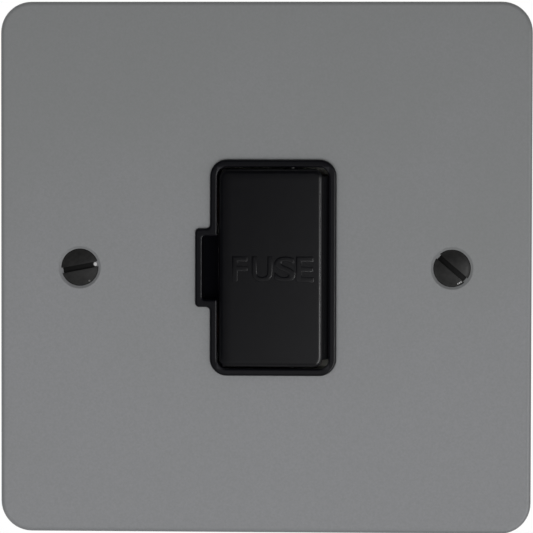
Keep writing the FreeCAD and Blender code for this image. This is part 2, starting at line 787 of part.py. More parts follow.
def pieces():
    top_contact = fuse_contact()
    cap = fuse_cap()
    live = terminal(-1, live_strip_x)
    neutral = terminal(1, link_x)
    earth = earth_terminal()
    made = {
        "front_plate": front_plate(),
        "gasket": gasket(),
        "mounting_strap": mounting_strap(),
        "fixing_screw_left": fixing_screw(-fixing_x, slot_angle_left),
        "fixing_screw_right": fixing_screw(fixing_x, slot_angle_right),
        "bezel_moulding": bezel_moulding(),
        "fuse_carrier": fuse_carrier(),
        "fuse_tube": fuse_tube(),
        "fuse_wire": fuse_wire(),
        "fuse_cap_top": cap,
        "fuse_cap_bottom": flipped(cap),
        "base_housing": base_housing(),
        "load_fuse_contact": top_contact,
        "supply_fuse_contact": flipped(top_contact),
        "live_load_terminal": live,
        "live_supply_terminal": flipped(live),
        "neutral_load_terminal": neutral,
        "neutral_supply_terminal": flipped(neutral),
        "neutral_link": neutral_link(),
        "earth_load_terminal": earth,
        "earth_supply_terminal": flipped(earth),
    }
    made["live_load_screw"] = terminal_screw(-block_x, block_z, bore_y, 25)
    made["live_supply_screw"] = terminal_screw(-block_x, -block_z, bore_y, 100)
    made["neutral_load_screw"] = terminal_screw(block_x, block_z, bore_y, 140)
    made["neutral_supply_screw"] = terminal_screw(block_x, -block_z, bore_y, 65)
    earth_bore_y = tab_reach / 2 - earth_block_depth / 2 + wire_bore_depth
    made["earth_load_screw"] = terminal_screw(0, earth_z, earth_bore_y, 10)
    made["earth_supply_screw"] = terminal_screw(0, -earth_z, earth_bore_y, 80)
    turns = (20, 75, 130, 165)
    names = ("left", "right", "top", "bottom")
    for name, (x, z), turn in zip(names, assembly_points(), turns):
        made["assembly_screw_" + name] = assembly_screw(x, z, turn)
    names = ("left_low", "left_high", "right_low", "right_high")
    for name, (x, z) in zip(names, stud_points()):
        made["plate_nut_" + name] = plate_nut(x, z)
    return made


os.makedirs("parts", exist_ok=True)
for node, shape in pieces().items():
    solids = shape.Solids
    if len(solids) != 1 or not shape.isValid():
        raise ValueError(f"{node} came out as {len(solids)} solids")
    solids[0].exportStep(f"parts/{node}.step")
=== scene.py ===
import json
import math

import bmesh
import bpy
from mathutils import Matrix, Vector


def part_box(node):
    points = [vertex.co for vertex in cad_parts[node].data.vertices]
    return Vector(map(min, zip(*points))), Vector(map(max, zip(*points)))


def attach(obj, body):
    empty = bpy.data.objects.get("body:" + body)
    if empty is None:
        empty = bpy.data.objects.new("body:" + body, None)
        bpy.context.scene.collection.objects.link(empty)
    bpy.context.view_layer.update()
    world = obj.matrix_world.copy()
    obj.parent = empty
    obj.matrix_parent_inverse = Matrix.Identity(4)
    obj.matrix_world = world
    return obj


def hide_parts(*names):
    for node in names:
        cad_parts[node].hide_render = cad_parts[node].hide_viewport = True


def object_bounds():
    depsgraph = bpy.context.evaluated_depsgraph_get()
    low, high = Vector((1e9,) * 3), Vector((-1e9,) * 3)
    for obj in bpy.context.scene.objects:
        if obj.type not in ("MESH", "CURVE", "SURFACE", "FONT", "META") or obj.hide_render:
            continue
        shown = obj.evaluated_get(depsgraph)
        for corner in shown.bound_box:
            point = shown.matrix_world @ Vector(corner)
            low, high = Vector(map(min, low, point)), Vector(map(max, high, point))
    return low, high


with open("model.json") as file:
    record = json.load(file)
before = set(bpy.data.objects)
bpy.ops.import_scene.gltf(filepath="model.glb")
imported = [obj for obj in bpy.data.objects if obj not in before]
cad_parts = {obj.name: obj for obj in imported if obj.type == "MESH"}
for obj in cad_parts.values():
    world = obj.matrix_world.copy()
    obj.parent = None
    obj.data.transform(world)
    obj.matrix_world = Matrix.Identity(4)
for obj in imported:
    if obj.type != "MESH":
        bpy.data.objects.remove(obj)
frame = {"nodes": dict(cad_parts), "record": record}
cad_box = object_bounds()

# Sizes of the unit as its drawing has them, in metres.
MM = 0.001
FACE_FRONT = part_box("fuse_carrier")[0].y
PLATE_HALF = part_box("front_plate")[1].x
CROWN_R = 140.0 * MM
CROWN_X = 4.0 * MM
FIXING_X = 30.15 * MM
FUSE_X = -2.4 * MM
FUSE_Y = 1.1 * MM

# Two lengths are alike when they differ by less than this.
CLOSE = 0.01 * MM

# A thread's steps in one turn, and the share of its width that is left at its very ends.
THREAD_STEPS = 24
THREAD_END = 0.05

# Edges that turn by more than this many degrees stay sharp.
SHARP_ANGLE = 32

# The range of a noise pattern where most of it lies.
NOISE_MIDDLE = (0.3, 0.7)

# How far each screw's slot is turned from level, in degrees.
SLOT_ANGLES = {
    "fixing_screw_left": -11.0,
    "fixing_screw_right": 41.0,
    "earth_load_screw": 10.0,
    "earth_supply_screw": 80.0,
}

# The raised letters: each one's left and right side from the unit's middle, in millimetres, and their
# bevel's depth and inset, in the font's own units.
LETTERS = {"F": (-5.33, -2.85), "U": (-2.15, 1.2), "S": (1.5, 4.9), "E": (5.0, 7.85)}
LETTER_LOW = -2.23 * MM
LETTER_HIGH = 1.9 * MM
LETTER_RISE = 0.07 * MM
LETTER_BEVEL = 0.05
LETTER_INSET = 0.02

# The carrier's face: its edges, how far inside them it rolls over softly, and its slight lean back towards
# the top, each with its slope at the edge.
FACE_LEFT = -7.48 * MM
FACE_RIGHT = 9.3 * MM
FACE_HALF_HEIGHT = 15.99 * MM
FACE_DEPTH = 1.2 * MM
ROLL_LEFT = (2.2 * MM, 0.2)
ROLL_TOP = (1.8 * MM, 0.1)
LEAN_TOP = (32 * MM, 0.04)
# Painted light: past the face's right edge the hinge recess is painted a lighter grey, fading in over this
# span.
RECESS_LIGHT_FADE = (0.05 * MM, 0.5 * MM)
RECESS_LIGHT_GREY = (0.009, 0.009, 0.0105)

# The bezel's rim leans outwards a little all round its pocket; inside, the pocket is painted a lighter grey
# as painted light.
POCKET_MIDDLE = 1.235 * MM
POCKET_HALF = (9.015 * MM, 16.29 * MM)
POCKET_LIGHT_REACH = 0.05 * MM
POCKET_LIGHT_GREY = (0.014, 0.014, 0.0165)
RIM_LEAN = 0.045

# Painted shade on the plate: its grey is painted darker close to its sides and bottom, and darker and greener
# towards the top, in clouds that shift the change up and down.
EDGE_SHADE_FADE = (0.1 * MM, 1.1 * MM)
EDGE_SHADE_SHARE = 0.5
EDGE_SHADE_GREY = (0.17, 0.176, 0.182)
CLOUD_SCALE = 45
CLOUD_SHIFT = 130 * MM
TOP_SHADE_FADE = (-30 * MM, 45 * MM)
TOP_SHADE_SHARE = 0.4
TOP_SHADE_GREY = (0.196, 0.2055, 0.1985)

# The fixing screws' rims and slot floors, painted darker and less glossy as painted shade, and how their
# gloss grows from the head to the shank behind it.
SLOT_SHADE_BLACK = (0.0055, 0.0055, 0.0055)
SCREW_GLOSS = 0.22
HEAD_GLOSS = 1.7
SHANK_GLOSS = 4.5
SHANK_FADE = (-1.5 * MM, -0.5 * MM)

# Painted highlights on the screws: bright spots that stand in for glints, each one's place from the unit's
# middle (x, z) and its radius, in millimetres, and its brightness.
PAINTED_GLINTS = (
    (-27.62, 0.5, 0.42, 0.55),
    (-28.6, -2.2, 0.2, 0.1),
    (31.1, -2.5, 0.15, 0.4),
    (31.36, -2.36, 0.16, 0.4),
    (31.6, -2.2, 0.15, 0.4),
)

# The camera: its distance, how far it is turned to the left, down and over, in degrees, and the point it
# aims at.
CAMERA_DISTANCE = 0.45
CAMERA_TURN = (2.24, 1.79, 0.12)
CAMERA_AIM = (0.00008, 0.0, 0.00014)
PICTURE_PIXELS = 533
PIXELS_PER_METRE = 6147.0
SENSOR_WIDTH = 36.0

# The studio lamps: place, size and power.
FRONT_LIGHT = ((-0.02, -0.27, -0.07), (0.3, 0.16), 0.57)
GLINT_LIGHT = ((0.36, -0.3, -0.18), (0.08, 0.46), 1.35)

# Levels of the studio: light on dull surfaces in front and behind, how the room that gloss sees brightens
# to the right and downwards, up to a limit, and how it dims again below, where the floor is.
AMBIENT = 0.32
AMBIENT_BEHIND = 0.9
AMBIENT_FADE = (0.1, 0.7)
ROOM = 0.2
ROOM_RIGHT = 4.0
ROOM_DOWN = 9.5
ROOM_LIMIT = 0.7
ROOM_FLOOR = 0.15
ROOM_FLOOR_FADE = (-0.5, -0.15)
BACKDROP_FADE = (0.0, 0.5)

# The floor: how far it lies below the unit, and where it fades out.
FLOOR_DROP = 0.1
FLOOR_EDGE = 0.2
FLOOR_FADE = (0.1, 0.19)


def noise(tree, scale, detail=2.0, stretch=(1.0, 1.0, 1.0)):
    """A noise pattern on object coordinates, its scale counted per metre."""
    place = tree.nodes.new("ShaderNodeTexCoord")
    spread = tree.nodes.new("ShaderNodeMapping")
    spread.inputs["Scale"].default_value = stretch
    pattern = tree.nodes.new("ShaderNodeTexNoise")
    pattern.inputs["Scale"].default_value = scale
    pattern.inputs["Detail"].default_value = detail
    tree.links.new(place.outputs["Object"], spread.inputs["Vector"])
    tree.links.new(spread.outputs["Vector"], pattern.inputs["Vector"])
    return pattern.outputs["Fac"]


def ramp(tree, source, span, low=0.0, high=1.0, smooth=True):
    """A change from low to high while the source runs over a span of values."""
    change = tree.nodes.new("ShaderNodeMapRange")
    if smooth:
        change.interpolation_type = "SMOOTHSTEP"
    names = ("From Min", "From Max", "To Min", "To Max")
    for name, value in zip(names, (*span, low, high)):
        change.inputs[name].default_value = value
    tree.links.new(source, change.inputs["Value"])
    return change.outputs["Result"]


def spread_value(tree, pattern, low, high):
    """Spreads a noise pattern's middle range over low..high."""
    return ramp(tree, pattern, NOISE_MIDDLE, low, high, smooth=False)


def calculate(tree, operation, *values):
    """One step of arithmetic in a node tree; a value is a number or a socket."""
    step = tree.nodes.new("ShaderNodeMath")
    step.operation = operation
    for socket, value in zip(step.inputs, values):
        if isinstance(value, float):
            socket.default_value = value
        else:
            tree.links.new(value, socket)
    return step.outputs["Value"]


def distance(tree, across, upward):
    """The length of a step with two parts."""
    squares = [calculate(tree, "POWER", part, 2.0) for part in (across, upward)]
    return calculate(tree, "SQRT", calculate(tree, "ADD", *squares))


def object_place(tree):
    """The object coordinates' three parts."""
    parts = tree.nodes.new("ShaderNodeSeparateXYZ")
    coordinates = tree.nodes.new("ShaderNodeTexCoord")
    tree.links.new(coordinates.outputs["Object"], parts.inputs["Vector"])
    return parts.outputs


def colour_blend(tree, factor, colour):
    """A blend towards a colour by a factor socket; its input A is still free."""
    blend = tree.nodes.new("ShaderNodeMix")
    blend.data_type = "RGBA"
    blend.inputs["B"].default_value = (*colour, 1.0)
    tree.links.new(factor, blend.inputs["Factor"])
    return blend


def finish(name, dark, light, metallic, rough, mottle, grain, height, stretch=(1.0, 1.0, 1.0), gloss=0.5):
    """A material whose colour and roughness drift between two values, with a fine grain in relief.

    mottle and grain are the two patterns' scales per metre, height the grain's depth in metres."""
    material = bpy.data.materials.new(name)
    material.use_nodes = True
    tree = material.node_tree
    shader = tree.nodes["Principled BSDF"]
    shader.inputs["Metallic"].default_value = metallic
    shader.inputs["Specular IOR Level"].default_value = gloss
    drift = noise(tree, mottle, detail=4.0)
    blend = colour_blend(tree, spread_value(tree, drift, 0.0, 1.0), light)
    blend.inputs["A"].default_value = (*dark, 1.0)
    tree.links.new(blend.outputs["Result"], shader.inputs["Base Color"])
    fine = noise(tree, grain, stretch=stretch)
    tree.links.new(spread_value(tree, fine, *rough), shader.inputs["Roughness"])
    bump = tree.nodes.new("ShaderNodeBump")
    bump.inputs["Distance"].default_value = height
    tree.links.new(fine, bump.inputs["Height"])
    tree.links.new(bump.outputs["Normal"], shader.inputs["Normal"])
    return material


def recolour(tree, factor, colour):
    """Blends the finish's colour towards another one by a factor socket."""
    base = tree.nodes["Principled BSDF"].inputs["Base Color"]
    before = base.links[0].from_socket
    blend = colour_blend(tree, factor, colour)
    tree.links.new(before, blend.inputs["A"])
    tree.links.new(blend.outputs["Result"], base)


def relief(tree, height):
    """Adds a height in metres below the finish's grain."""
    bump = tree.nodes.new("ShaderNodeBump")
    bump.inputs["Distance"].default_value = 1.0
    tree.links.new(height, bump.inputs["Height"])
    grain = tree.nodes["Principled BSDF"].inputs["Normal"].links[0].from_node
    tree.links.new(bump.outputs["Normal"], grain.inputs["Normal"])


def paint_plate_shade(tree):
    """Paints shade into the plate's grey: darker close to its edges, and darker and greener towards its top
    in wide clouds.
    """
    place = object_place(tree)
    beside = calculate(tree, "ABSOLUTE", place["X"])
    below = calculate(tree, "MULTIPLY", place["Z"], -1.0)
    inset = calculate(tree, "SUBTRACT", PLATE_HALF, calculate(tree, "MAXIMUM", beside, below))
    # Painted shade: darker close to the sides and bottom.
    recolour(tree, ramp(tree, inset, EDGE_SHADE_FADE, EDGE_SHADE_SHARE, 0.0), EDGE_SHADE_GREY)
    # Painted shade: darker and greener towards the top, its border shifted by clouds.
    cloud = calculate(tree, "SUBTRACT", noise(tree, CLOUD_SCALE, detail=3.0), 0.5)
    upward = calculate(tree, "ADD", place["Z"], calculate(tree, "MULTIPLY", cloud, CLOUD_SHIFT))
    recolour(tree, ramp(tree, upward, TOP_SHADE_FADE, 0.0, TOP_SHADE_SHARE), TOP_SHADE_GREY)


def lean_rim_and_paint_pocket_light(tree):
    """Leans the bezel's rim outwards by a fall that grows away from the pocket, and paints the pocket a
    lighter grey as painted light.
    """
    place = object_place(tree)
    beside = calculate(tree, "ABSOLUTE", calculate(tree, "SUBTRACT", place["X"], POCKET_MIDDLE))
    above = calculate(tree, "ABSOLUTE", place["Z"])
    outside = [
        calculate(tree, "MAXIMUM", calculate(tree, "SUBTRACT", part, half), 0.0)
        for part, half in zip((beside, above), POCKET_HALF)
    ]
    away = distance(tree, *outside)
    relief(tree, calculate(tree, "MULTIPLY", away, -RIM_LEAN))
    # Painted light: the pocket is painted a lighter grey than the black moulding.
    recolour(tree, calculate(tree, "LESS_THAN", away, POCKET_LIGHT_REACH), POCKET_LIGHT_GREY)


def soften_face_and_paint_recess_light(tree):
    """Rolls the carrier's face over softly along its left and top edges, and paints its hinge recess a
    lighter grey as painted light.
    """
    place = object_place(tree)
    from_left = calculate(tree, "SUBTRACT", place["X"], FACE_LEFT)
    from_top = calculate(tree, "SUBTRACT", FACE_HALF_HEIGHT, place["Z"])
    height = 0.0
    for inset, (reach, slope) in ((from_left, ROLL_LEFT), (from_top, ROLL_TOP), (from_top, LEAN_TOP)):
        share = calculate(tree, "SUBTRACT", 1.0, calculate(tree, "DIVIDE", inset, reach))
        left_over = calculate(tree, "POWER", calculate(tree, "MAXIMUM", share, 0.0), 2.0)
        fall = calculate(tree, "MULTIPLY", left_over, -0.5 * reach * slope)
        height = calculate(tree, "ADD", height, fall)
    front = calculate(tree, "LESS_THAN", place["Y"], FACE_FRONT + FACE_DEPTH)
    relief(tree, calculate(tree, "MULTIPLY", height, front))
    # Painted light: the hinge recess is painted a lighter grey than the face.
    recess = ramp(tree, place["X"], [FACE_RIGHT + past for past in RECESS_LIGHT_FADE])
    recolour(tree, recess, RECESS_LIGHT_GREY)


def paint_slot_shade(tree):
    """Paints shade on a screw's rim and the floor of its slot, which carry the attribute recess: darker
    colour and less gloss.
    """
    recess = tree.nodes.new("ShaderNodeAttribute")
    recess.attribute_name = "recess"
    recolour(tree, recess.outputs["Fac"], SLOT_SHADE_BLACK)
    gloss = ramp(tree, object_place(tree)["Y"], SHANK_FADE, HEAD_GLOSS, SHANK_GLOSS)
    left = calculate(tree, "SUBTRACT", gloss, recess.outputs["Fac"])
    level = tree.nodes["Principled BSDF"].inputs["Specular IOR Level"]
    tree.links.new(calculate(tree, "MULTIPLY", left, SCREW_GLOSS), level)


def paint_screw_glints(tree):
    """Paints small bright spots on the fixing screws' heads as painted highlights."""
    place = object_place(tree)
    for x, z, radius, level in PAINTED_GLINTS:
        across = calculate(tree, "SUBTRACT", place["X"], x * MM)
        upward = calculate(tree, "SUBTRACT", place["Z"], z * MM)
        away = distance(tree, across, upward)
        painted_glint = ramp(tree, away, (0.5 * radius * MM, radius * MM), 1.0, 0.0)
        # Painted highlight: a bright spot that fades out at its radius.
        recolour(tree, painted_glint, (level, level, level))


# Each finish by its material slot: satin grey plate, sparked black mouldings, blackened and zinc-plated
# steel, machined brass and drawn copper, nickel-plated caps, glazed ceramic, ivory moulding and
# closed-cell foam.
FINISHES = {
    "plate_metal": finish(
        "plate_metal", (0.2128, 0.2161, 0.2231), (0.2377, 0.2417, 0.2495),
        0.1, (0.5, 0.56), 3400, 2600, 0.0006 * MM),
    "black_plastic": finish(
        "black_plastic", (0.0026, 0.0026, 0.0039), (0.0035, 0.0035, 0.005),
        0.0, (0.3, 0.36), 900, 9000, 0.003 * MM, gloss=0.265),
    "carrier_plastic": finish(
        "carrier_plastic", (0.0015, 0.0015, 0.0024), (0.0026, 0.0026, 0.0037),
        0.0, (0.28, 0.36), 700, 5000, 0.003 * MM),
    "black_screw": finish(
        "black_screw", (0.011, 0.011, 0.011), (0.02, 0.0197, 0.0193),
        0.1, (0.34, 0.46), 1800, 5000, 0.002 * MM),
    "plated_steel": finish(
        "zinc_plate", (0.53, 0.54, 0.53), (0.68, 0.69, 0.66),
        1.0, (0.26, 0.4), 300, 3200, 0.003 * MM, (1.0, 1.0, 6.0)),
    "terminal_brass": finish(
        "terminal_brass", (0.62, 0.44, 0.19), (0.76, 0.57, 0.27),
        1.0, (0.24, 0.38), 450, 2500, 0.005 * MM, (1.0, 10.0, 1.0)),
    "contact_copper": finish(
        "contact_copper", (0.6, 0.31, 0.19), (0.78, 0.44, 0.29),
        1.0, (0.22, 0.4), 260, 3000, 0.003 * MM, (8.0, 1.0, 1.0)),
    "cap_metal": finish(
        "cap_metal", (0.7, 0.69, 0.65), (0.8, 0.79, 0.75),
        1.0, (0.16, 0.3), 600, 4000, 0.002 * MM, (1.0, 1.0, 9.0)),
    "fuse_ceramic": finish(
        "fuse_ceramic", (0.76, 0.74, 0.67), (0.84, 0.82, 0.77),
        0.0, (0.18, 0.3), 500, 3000, 0.006 * MM),
    "base_plastic": finish(
        "base_plastic", (0.7, 0.69, 0.63), (0.76, 0.75, 0.7),
        0.0, (0.26, 0.38), 120, 4500, 0.006 * MM),
    "gasket_foam": finish(
        "gasket_foam", (0.016, 0.016, 0.016), (0.03, 0.03, 0.03),
        0.0, (0.75, 0.9), 1500, 3500, 0.08 * MM),
}
FINISHES["zinc_screw"] = FINISHES["plated_steel"]

# Painted shade on the plate's edges and top.
paint_plate_shade(FINISHES["plate_metal"].node_tree)
# Painted light in the bezel's pocket.
lean_rim_and_paint_pocket_light(FINISHES["black_plastic"].node_tree)
# Painted light in the carrier's hinge recess.
soften_face_and_paint_recess_light(FINISHES["carrier_plastic"].node_tree)
# Painted shade in the screws' slots and round their rims.
paint_slot_shade(FINISHES["black_screw"].node_tree)
# Painted highlights on the fixing screws.
paint_screw_glints(FINISHES["black_screw"].node_tree)


def dress_nodes():
    """Gives every carried-over solid its finish."""
    slots = {part["node"]: part["material_slot"] for part in frame["record"]["subparts"]}
    for name, node in frame["nodes"].items():
        node.data.materials.clear()
        node.data.materials.append(FINISHES[slots[name]])


def new_object(name, data):
    """An object in the scene that holds a mesh, curve, lamp or camera."""
    thing = bpy.data.objects.new(name, data)
    bpy.context.scene.collection.objects.link(thing)
    return thing


def new_mesh(name, body):
    """A mesh from a bmesh, which is freed."""
    mesh = bpy.data.meshes.new(name)
    body.to_mesh(mesh)
    body.free()
    return mesh


def baked(thing):
    """The object's mesh with its modifiers applied; the object itself is removed."""
    bpy.context.view_layer.update()
    final = thing.evaluated_get(bpy.context.evaluated_depsgraph_get())
    mesh = bpy.data.meshes.new_from_object(final)
    bpy.data.objects.remove(thing)
    return mesh


def gathered(meshes):
    """One bmesh that holds several meshes, which are removed."""
    whole = bmesh.new()
    for mesh in meshes:
        whole.from_mesh(mesh)
        bpy.data.meshes.remove(mesh)
    return whole


def joined(name, meshes, slot):
    """One object from several meshes, in the finish of a material slot."""
    mesh = new_mesh(name, gathered(meshes))
    mesh.materials.clear()
    mesh.materials.append(FINISHES[slot])
    for face in mesh.polygons:
        face.material_index = 0
    mesh.shade_smooth()
    mesh.set_sharp_from_angle(angle=math.radians(SHARP_ANGLE))
    return new_object(name, mesh)


def moved(x, y, z):
    """The matrix that moves things by a step."""
    return Matrix.Translation((x, y, z))


def turned(degrees, axis, size=4):
    """The matrix that turns things about an axis through the origin."""
    return Matrix.Rotation(math.radians(degrees), size, axis)


def lathe(profile, steps=96):
    """A closed body turned about the Y axis from (radius, y) points that start and end on the axis."""
    body = bmesh.new()
    turns = [2 * math.pi * k / steps for k in range(steps)]
    rings = []
    for r, y in profile:
        if r == 0.0:
            rings.append([body.verts.new((0.0, y, 0.0))] * steps)
        else:
            rings.append([body.verts.new((r * math.cos(a), y, r * math.sin(a))) for a in turns])
    for near, far in zip(rings, rings[1:]):
        for k in range(steps):
            loop = [near[k - 1], near[k], far[k], far[k - 1]]
            body.faces.new(list(dict.fromkeys(loop)))
    bmesh.ops.recalc_face_normals(body, faces=body.faces)
    return new_mesh("lathe", body)


def arc(start, corner, end, count=5):
    """Points of a rounding that leaves start towards corner and arrives at end from it."""
    points = []
    for k in range(count + 1):
        t = k / count
        weights = ((1 - t) ** 2, 2 * t * (1 - t), t * t)
        points.append(tuple(sum(w * p for w, p in zip(weights, parts)) for parts in zip(start, corner, end)))
    return points


def slotted(mesh, width, depth, top, outwards, angle):
    """Cuts a driver's slot across a turned head whose top is at y = top, and breaks its edges.

    outwards is 1 or -1, the way along Y that the head faces; the slot is turned from level by the angle."""
    reach, clear, broken_edge = 10 * MM, 2 * MM, 0.06 * MM
    low = top + outwards * clear
    high = top - outwards * depth
    tool = bmesh.new()
    bmesh.ops.create_cube(tool, size=1.0)
    shape = Matrix.Diagonal((reach, abs(high - low), width, 1.0))
    tool.transform(turned(angle, "Y") @ moved(0, (low + high) / 2, 0) @ shape)
    cutter = new_object("slot_tool", new_mesh("slot_tool", tool))
    head = new_object("slot_head", mesh)
    cut = head.modifiers.new("slot", "BOOLEAN")
    cut.object = cutter
    cut.solver = "EXACT"
    edge = head.modifiers.new("edge", "BEVEL")
    edge.width = broken_edge
    edge.segments = 2
    edge.limit_method = "ANGLE"
    edge.angle_limit = math.radians(48)
    result = baked(head)
    bpy.data.objects.remove(cutter)
    return result


def mark_slot_shade(mesh, floor, rim):
    """Marks a slot's floor, at y = floor, and all that lies outside the rim in the attribute recess, where
    shade is painted.
    """
    recess = mesh.attributes.new("recess", "FLOAT", "POINT")
    for v in mesh.vertices:
        # Painted shade: the slot's floor and the band round the rim.
        dull = abs(v.co.y - floor) < CLOSE or math.hypot(v.co.x, v.co.z) > rim
        recess.data[v.index].value = float(dull)


def thread_tree():
    """Geometry nodes that wind a tapered-off thread ridge up the Z axis."""
    tree = bpy.data.node_groups.new("screw_thread", "GeometryNodeTree")
    for name in ("Core Radius", "Crest Radius", "Pitch", "Turns"):
        tree.interface.new_socket(name=name, in_out="INPUT", socket_type="NodeSocketFloat")
    tree.interface.new_socket(name="Finish", in_out="INPUT", socket_type="NodeSocketMaterial")
    tree.interface.new_socket(name="Geometry", in_out="OUTPUT", socket_type="NodeSocketGeometry")
    new, link = tree.nodes.new, tree.links.new
    given = new("NodeGroupInput").outputs

    helix = new("GeometryNodeCurveSpiral")
    helix.inputs["Resolution"].default_value = THREAD_STEPS
    link(given["Turns"], helix.inputs["Rotations"])
    link(given["Core Radius"], helix.inputs["Start Radius"])
    link(given["Core Radius"], helix.inputs["End Radius"])
    link(calculate(tree, "MULTIPLY", given["Pitch"], given["Turns"]), helix.inputs["Height"])
    upright = new("GeometryNodeSetCurveNormal")
    upright.mode = "Z_UP"
    link(helix.outputs["Curve"], upright.inputs["Curve"])

    # The ridge runs out over one turn at both ends.
    along = new("GeometryNodeSplineParameter").outputs["Factor"]
    turn = calculate(tree, "MULTIPLY", along, given["Turns"])
    left = calculate(tree, "SUBTRACT", given["Turns"], turn)
    nearest = calculate(tree, "MINIMUM", calculate(tree, "MINIMUM", turn, left), 1.0)
    width = new("GeometryNodeSetCurveRadius")
    link(upright.outputs["Curve"], width.inputs["Curve"])
    link(calculate(tree, "MAXIMUM", nearest, THREAD_END), width.inputs["Radius"])

    # Corners of the ridge's section, in parts of its depth inwards and of the pitch along the screw.
    ridge = new("GeometryNodeCurvePrimitiveQuadrilateral")
    ridge.mode = "POINTS"
    depth = calculate(tree, "SUBTRACT", given["Crest Radius"], given["Core Radius"])
    corners = ((0.1, 0.46), (-1.0, 0.07), (-1.0, -0.07), (0.1, -0.46))
    for count, (inwards, across) in enumerate(corners, 1):
        place = new("ShaderNodeCombineXYZ")
        link(calculate(tree, "MULTIPLY", depth, inwards), place.inputs["X"])
        link(calculate(tree, "MULTIPLY", given["Pitch"], across), place.inputs["Y"])
        link(place.outputs["Vector"], ridge.inputs[f"Point {count}"])

    sweep = new("GeometryNodeCurveToMesh")
    sweep.inputs["Fill Caps"].default_value = True
    link(width.outputs["Curve"], sweep.inputs["Curve"])
    link(ridge.outputs["Curve"], sweep.inputs["Profile Curve"])
    whole = new("GeometryNodeRealizeInstances")
    link(sweep.outputs["Mesh"], whole.inputs["Geometry"])
    coat = new("GeometryNodeSetMaterial")
    link(whole.outputs["Geometry"], coat.inputs["Geometry"])
    link(given["Finish"], coat.inputs["Material"])
    link(coat.outputs["Geometry"], new("NodeGroupOutput").inputs["Geometry"])
    return tree


THREAD = thread_tree()


def thread(core, crest, pitch, start, stop, slot):
    """A thread ridge about the Y axis from y = start to y = stop."""
    holder = new_object("thread", bpy.data.meshes.new("thread"))
    winder = holder.modifiers.new("thread", "NODES")
    winder.node_group = THREAD
    sockets = {item.name: item.identifier for item in THREAD.interface.items_tree if item.in_out == "INPUT"}
    values = {
        "Core Radius": core,
        "Crest Radius": crest,
        "Pitch": pitch,
        "Turns": (stop - start) / pitch,
        "Finish": FINISHES[slot],
    }
    for name, value in values.items():
        winder[sockets[name]] = value
    mesh = baked(holder)
    mesh.transform(moved(0, start, 0) @ turned(-90, "X"))
    return mesh


def fixing_screw(node, x):
    """Raised countersunk screw with a rounded rim, a slot and a cut thread."""
    rim, neck, core, crest = 3.03 * MM, 1.55 * MM, 1.42 * MM, 1.75 * MM
    rim_y, apex, tip = -2.08 * MM, -2.58 * MM, 20.5 * MM
    pitch, slot_width, slot_depth = 0.6 * MM, 0.9 * MM, 0.75 * MM
    rim_round, rim_drop, shaded_rim_band = 0.22 * MM, 0.04 * MM, 0.12 * MM
    neck_chamfer, point_width, point_length = 0.1 * MM, 0.5 * MM, 0.6 * MM
    thread_start, thread_end = 0.2 * MM, tip - 0.3 * MM
    dome = (rim ** 2 + (rim_y - apex) ** 2) / (2 * (rim_y - apex))
    shoulder, crown_steps = rim - rim_round, 10
    crown = []
    for k in range(crown_steps + 1):
        r = shoulder * k / crown_steps
        crown.append((r, apex + dome - math.sqrt(dome ** 2 - r ** 2)))
    round_rim = arc(crown[-1], (rim, crown[-1][1]), (rim, rim_y + rim_drop))
    neck_y = rim_y + rim - neck
    shank = [(neck, neck_y), (neck, -neck_chamfer), (core, 0.0)]
    shank += [(core, tip - point_length), (core - point_width, tip), (0.0, tip)]
    body = lathe(crown + round_rim[1:] + shank)
    head = slotted(body, slot_width, slot_depth, apex, -1, SLOT_ANGLES[node])
    # Painted shade on the slot's floor and the head's rim.
    mark_slot_shade(head, apex + slot_depth, rim - shaded_rim_band)
    ridge = thread(core, crest, pitch, thread_start, thread_end, "black_screw")
    piece = joined(node + "_detail", [head, ridge], "black_screw")
    piece.data.transform(moved(x, 0, 0))
    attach(piece, "fixed_body")
    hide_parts(node)


def earth_screw(node):
    """Pan-headed terminal screw with a cut thread, standing on its CAD place."""
    low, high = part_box(node)
    core, crest, head, head_height = 1.24 * MM, 1.5 * MM, 2.7 * MM, 2.2 * MM
    pitch, slot_width, slot_depth = 0.5 * MM, 0.8 * MM, 1.1 * MM
    chamfer, under_edge, top_edge = 0.3 * MM, 0.1 * MM, 0.7 * MM
    tip, top = low.y, high.y
    seat = top - head_height
    thread_start, thread_end = tip + 0.2 * MM, seat - 0.1 * MM
    profile = [(0.0, tip), (core - chamfer, tip), (core, tip + chamfer), (core, seat)]
    profile += arc((head - under_edge, seat), (head, seat), (head, seat + under_edge))
    profile += arc((head, top - top_edge), (head, top), (head - top_edge, top), count=8)
    profile += [(0.0, top)]
    body = slotted(lathe(profile, steps=64), slot_width, slot_depth, top, 1, SLOT_ANGLES[node])
    ridge = thread(core, crest, pitch, thread_start, thread_end, "zinc_screw")
    piece = joined(node + "_detail", [body, ridge], "zinc_screw")
    piece.data.transform(moved(0, 0, (low.z + high.z) / 2))
    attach(piece, "fixed_body")
    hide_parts(node)


def stud_threads():
    """Threads on the bare ends of the plate's four studs."""
    core, crest, pitch, lead, end = 1.48 * MM, 1.58 * MM, 0.5 * MM, 0.1 * MM, 1.1 * MM
    ridges = []
    for side in ("left", "right"):
        for level in ("low", "high"):
            low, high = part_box(f"plate_nut_{side}_{level}")
            ridge = thread(core, crest, pitch, high.y + lead, high.y + end, "zinc_screw")
            ridge.transform(moved((low.x + high.x) / 2, 0, (low.z + high.z) / 2))
            ridges.append(ridge)
    piece = joined("stud_threads", ridges, "zinc_screw")
    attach(piece, "fixed_body")


